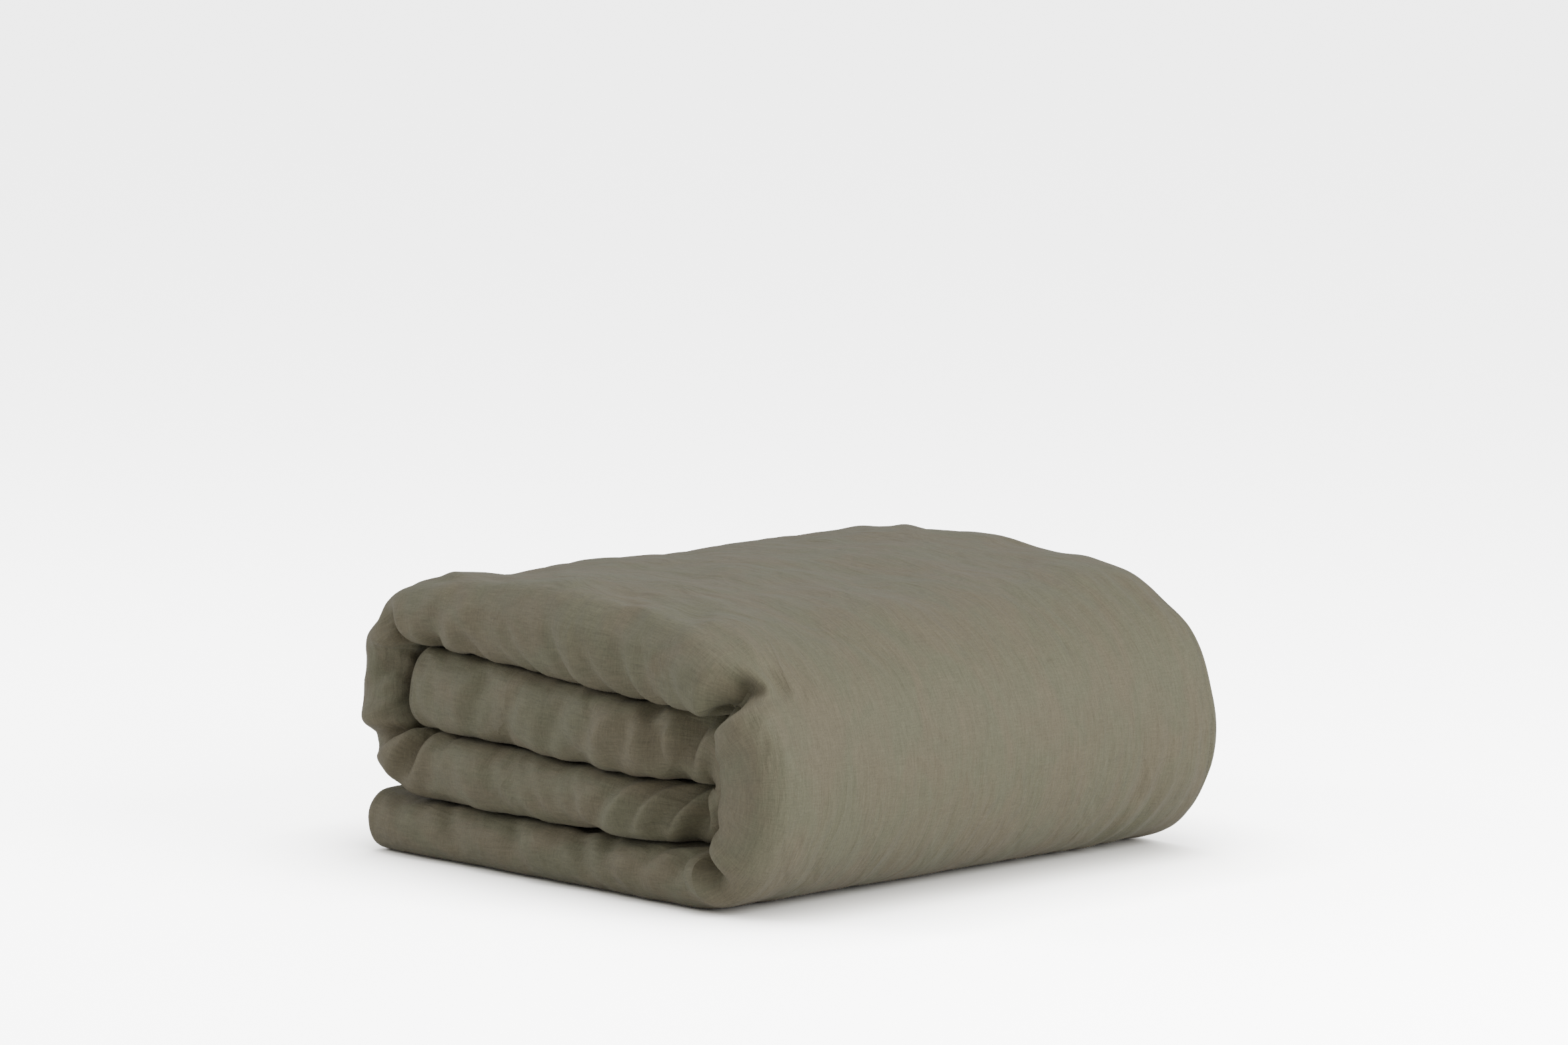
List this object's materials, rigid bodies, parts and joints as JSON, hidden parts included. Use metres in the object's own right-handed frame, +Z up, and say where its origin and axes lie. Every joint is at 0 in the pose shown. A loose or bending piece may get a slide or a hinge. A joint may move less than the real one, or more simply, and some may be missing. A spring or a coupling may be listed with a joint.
{
  "type": "folded duvet",
  "caption": "A down duvet in a washed linen cover, folded lengthwise and rolled into a flat stack for storage, with a first turn that unrolls.",
  "frame": {"origin": "middle of the rectangle that the folded duvet stands on, at the height of that surface", "axes": "+Z up; +X towards the big outer turn of the roll; -Y towards the smooth lengthwise folds, +Y towards the free seamed edges"},
  "size_m": [0.555, 0.55, 0.2609],
  "materials": {
    "linen": "washed slubby linen, matte",
    "linen_tape": "matte",
    "button": "satin",
    "thread": "matte",
    "label_satin": "satin, blank",
    "cotton_shell": "matte",
    "cotton_tape": "matte",
    "baffle_cotton": "matte",
    "down": "soft matte"
  },
  "bodies": {
    "bottom_run": {"button_placket": "linen", "button_shanks": "thread", "buttons": "button", "care_label": "label_satin", "corner_tie_foot_inner": "linen_tape", "corner_tie_foot_outer": "linen_tape", "cover_back_panel_foot": "linen", "cover_face_panel_foot": "linen", "cross_baffle_1": "baffle_cotton", "down_row_1": "down", "down_row_2": "down", "foot_fly": "linen", "insert_back_shell_foot": "cotton_shell", "insert_binding_foot": "cotton_tape", "insert_face_shell_foot": "cotton_shell", "insert_loop_foot_inner": "cotton_tape", "insert_loop_foot_outer": "cotton_tape", "long_baffles_foot": "baffle_cotton", "side_seam_inner_foot": "linen", "side_seam_outer_foot": "linen"},
    "roll": {"corner_tie_head_inner": "linen_tape", "corner_tie_head_outer": "linen_tape", "cover_back_panel_head": "linen", "cover_face_panel_head": "linen", "cross_baffle_3": "baffle_cotton", "cross_baffle_4": "baffle_cotton", "cross_baffle_5": "baffle_cotton", "cross_baffle_6": "baffle_cotton", "cross_baffle_7": "baffle_cotton", "down_row_3": "down", "down_row_4": "down", "down_row_5": "down", "down_row_6": "down", "down_row_7": "down", "down_row_8": "down", "head_seam": "linen", "insert_back_shell_head": "cotton_shell", "insert_binding_head": "cotton_tape", "insert_face_shell_head": "cotton_shell", "insert_loop_head_inner": "cotton_tape", "insert_loop_head_outer": "cotton_tape", "long_baffles_head": "baffle_cotton", "side_seam_inner_head": "linen", "side_seam_outer_head": "linen"}
  },
  "joints": [
    {"name": "unroll_first_turn", "type": "hinge", "parent": "bottom_run", "child": "roll", "pos_m": [0.2433, 0, 0.0342], "axis": [0, 1, 0], "range_deg": [0, 90]}
  ]
}
